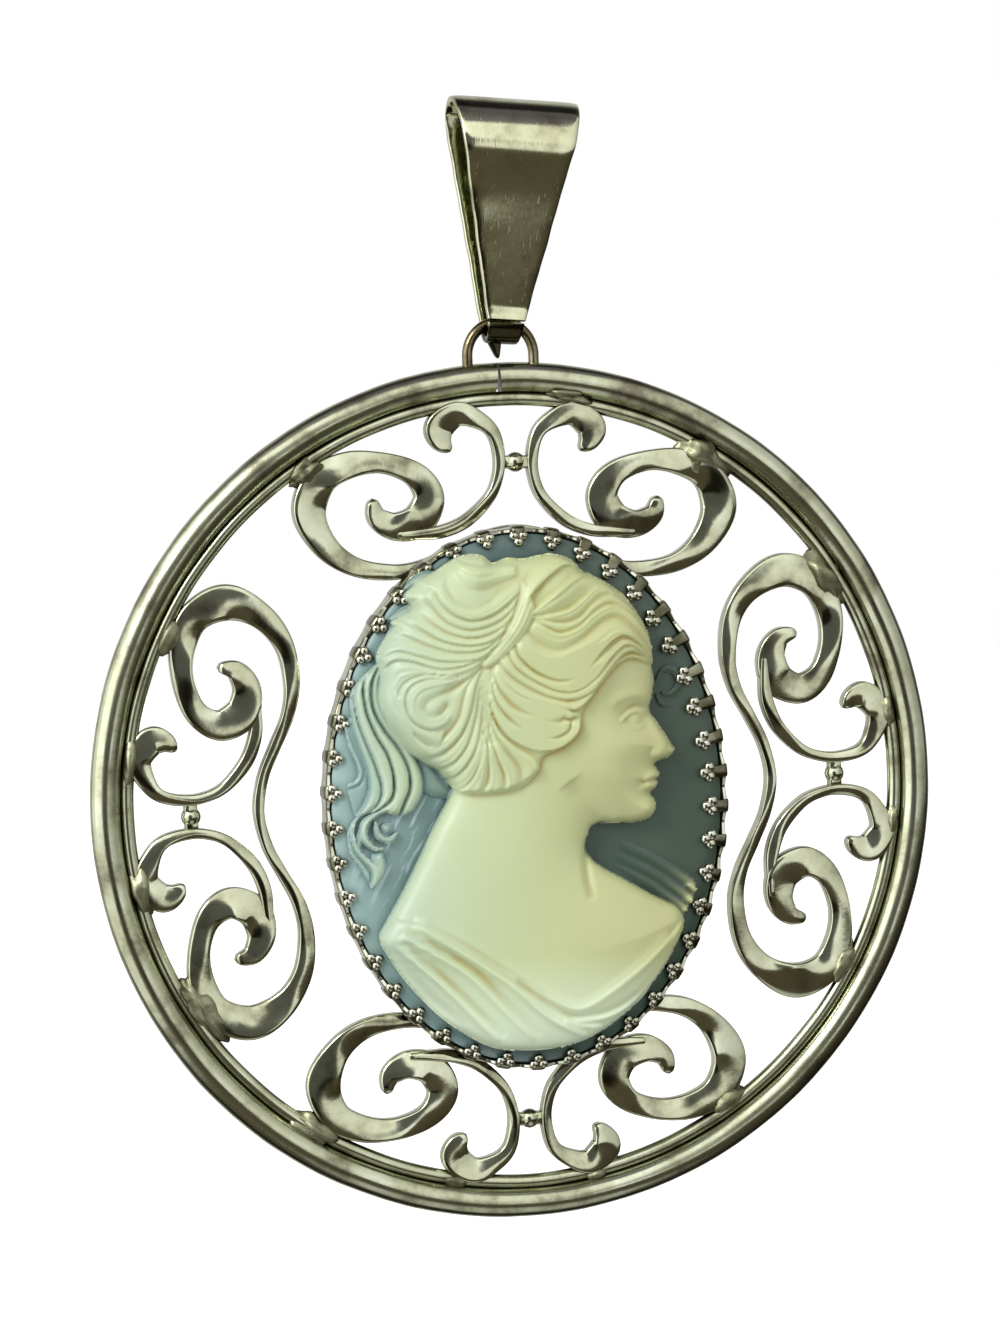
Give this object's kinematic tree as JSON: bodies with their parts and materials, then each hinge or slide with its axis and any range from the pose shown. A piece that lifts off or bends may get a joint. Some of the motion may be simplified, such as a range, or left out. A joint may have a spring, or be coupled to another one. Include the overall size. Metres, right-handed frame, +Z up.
{
  "type": "cameo pendant",
  "caption": "Round openwork pendant: an oval relief cameo in a prong setting, carried by scroll braces in a round frame that hangs from a tapered folded bail.",
  "frame": {"origin": "Inside the top of the bail, in the middle of its width, where a chain bears.", "axes": "The pendant hangs as worn: +Z up, -Y the front of the cameo, +X to the right as seen from the front."},
  "size_m": [0.065, 0.0095, 0.0851],
  "materials": {
    "silver_strap": "tarnished silver alloy sheet, rubbed and lightly scratched",
    "silver_frame": "tarnished silver alloy castings and wire, hand polished, with visible solder",
    "resin_ground": "slightly translucent blue-grey cast resin, satin",
    "resin_relief": "ivory cast resin, soft gloss, with warm staining in the grooves"
  },
  "bodies": {
    "bail": {"bail": "silver_strap"},
    "pendant": {"frame": "silver_frame", "cameo_ground": "resin_ground", "cameo_bust": "resin_relief"}
  },
  "joints": [
    {"name": "swing", "type": "hinge", "parent": "bail", "child": "pendant", "pos_m": [-0.00146, 0, -0.01603], "axis": [0.9959, 0, -0.0906], "range_deg": [-115, 115]}
  ]
}
